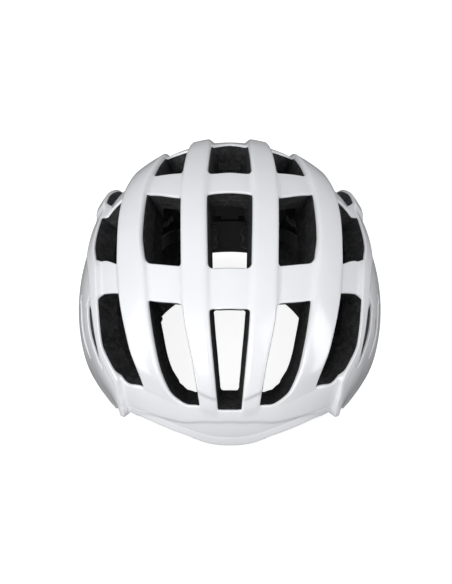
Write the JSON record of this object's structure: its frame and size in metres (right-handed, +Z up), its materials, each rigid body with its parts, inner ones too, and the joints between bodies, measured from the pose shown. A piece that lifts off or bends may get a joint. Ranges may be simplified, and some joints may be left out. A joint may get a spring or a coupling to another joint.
{
  "type": "cycling helmet",
  "caption": "Vented road cycling helmet: thin shell over a foam liner, with comfort pads, dial-adjusted rear cradle, webbing straps and side-release buckle.",
  "frame": {"origin": "centre of the head opening, on the plane that the rim stands on", "axes": "+X towards the wearer's left, the front of the helmet towards -Y, +Z up"},
  "size_m": [0.21, 0.2819, 0.1456],
  "materials": {
    "shell_white": "glossy moulded polycarbonate sheet",
    "foam_black": "expanded polystyrene beads, matt",
    "pad_fabric": "brushed knit over foam",
    "hook_tape": "hook tape",
    "black_nylon": "fine textured moulding",
    "grey_nylon": "satin moulding",
    "zinc_steel": "zinc plated",
    "spring_steel": "bright spring steel",
    "dial_rubber": "matt rubbery grip",
    "white_acetal": "natural acetal",
    "webbing": "woven polyester webbing",
    "soft_rubber": "moulded rubber"
  },
  "bodies": {
    "root": {"outer_shell": "shell_white", "rim_shell": "shell_white", "eps_liner": "foam_black", "front_pad": "pad_fabric", "crown_pad_left": "pad_fabric", "crown_pad_right": "pad_fabric", "side_pad_left": "pad_fabric", "side_pad_right": "pad_fabric", "pad_fasteners": "hook_tape", "temple_anchor_left": "black_nylon", "temple_anchor_right": "black_nylon", "ladder_clip": "black_nylon", "front_strap_anchors": "black_nylon", "rear_strap_anchors": "black_nylon", "front_strap_left": "webbing", "front_strap_right": "webbing", "rear_strap_left": "webbing", "rear_strap_right": "webbing", "divider_left": "black_nylon", "divider_right": "black_nylon", "chin_strap_left": "webbing", "chin_strap_right": "webbing", "strap_keeper": "soft_rubber", "chin_pad": "pad_fabric", "buckle_socket": "black_nylon"},
    "cradle": {"headband_arm_left": "black_nylon", "headband_arm_right": "black_nylon", "rear_cradle": "black_nylon", "height_ladder": "grey_nylon", "dial_housing": "black_nylon", "housing_cover": "black_nylon", "cover_screws": "zinc_steel", "ratchet_spring": "spring_steel", "cradle_pad_left": "pad_fabric", "cradle_pad_right": "pad_fabric"},
    "dial": {"fit_dial": "dial_rubber", "dial_pinion": "white_acetal", "dial_screw": "zinc_steel"},
    "belt_left": {"adjuster_belt_left": "grey_nylon"},
    "belt_right": {"adjuster_belt_right": "grey_nylon"},
    "lever_left": {"cam_lever_left": "black_nylon"},
    "lever_right": {"cam_lever_right": "black_nylon"},
    "plug": {"buckle_plug": "black_nylon"}
  },
  "joints": [
    {"name": "cradle_tilt", "type": "hinge", "parent": "root", "child": "cradle", "pos_m": [0, -0.055, 0.03], "axis": [-1, 0, 0], "range_deg": [0, 6]},
    {"name": "fit_dial_turn", "type": "hinge", "parent": "cradle", "child": "dial", "pos_m": [0, 0.1, 0.042], "axis": [0, -1, 0], "range_deg": [0, 140]},
    {"name": "belt_left_slide", "type": "slide", "parent": "cradle", "child": "belt_left", "axis": [-1, 0, 0], "range_m": [0, 0.012]},
    {"name": "belt_right_slide", "type": "slide", "parent": "cradle", "child": "belt_right", "axis": [1, 0, 0], "range_m": [0, 0.012]},
    {"name": "cam_lever_left_open", "type": "hinge", "parent": "root", "child": "lever_left", "pos_m": [0.06, 0.0335, 0.0074], "axis": [-1, 0, 0], "range_deg": [0, 45]},
    {"name": "cam_lever_right_open", "type": "hinge", "parent": "root", "child": "lever_right", "pos_m": [-0.06, 0.0335, 0.0074], "axis": [-1, 0, 0], "range_deg": [0, 45]},
    {"name": "buckle_release", "type": "slide", "parent": "root", "child": "plug", "axis": [1, 0, 0], "range_m": [0, 0.014]}
  ],
  "couplings": [
    {"joint": "belt_left_slide", "follows": "fit_dial_turn", "m_per_rad": 0.0048},
    {"joint": "belt_right_slide", "follows": "fit_dial_turn", "m_per_rad": 0.0048}
  ]
}
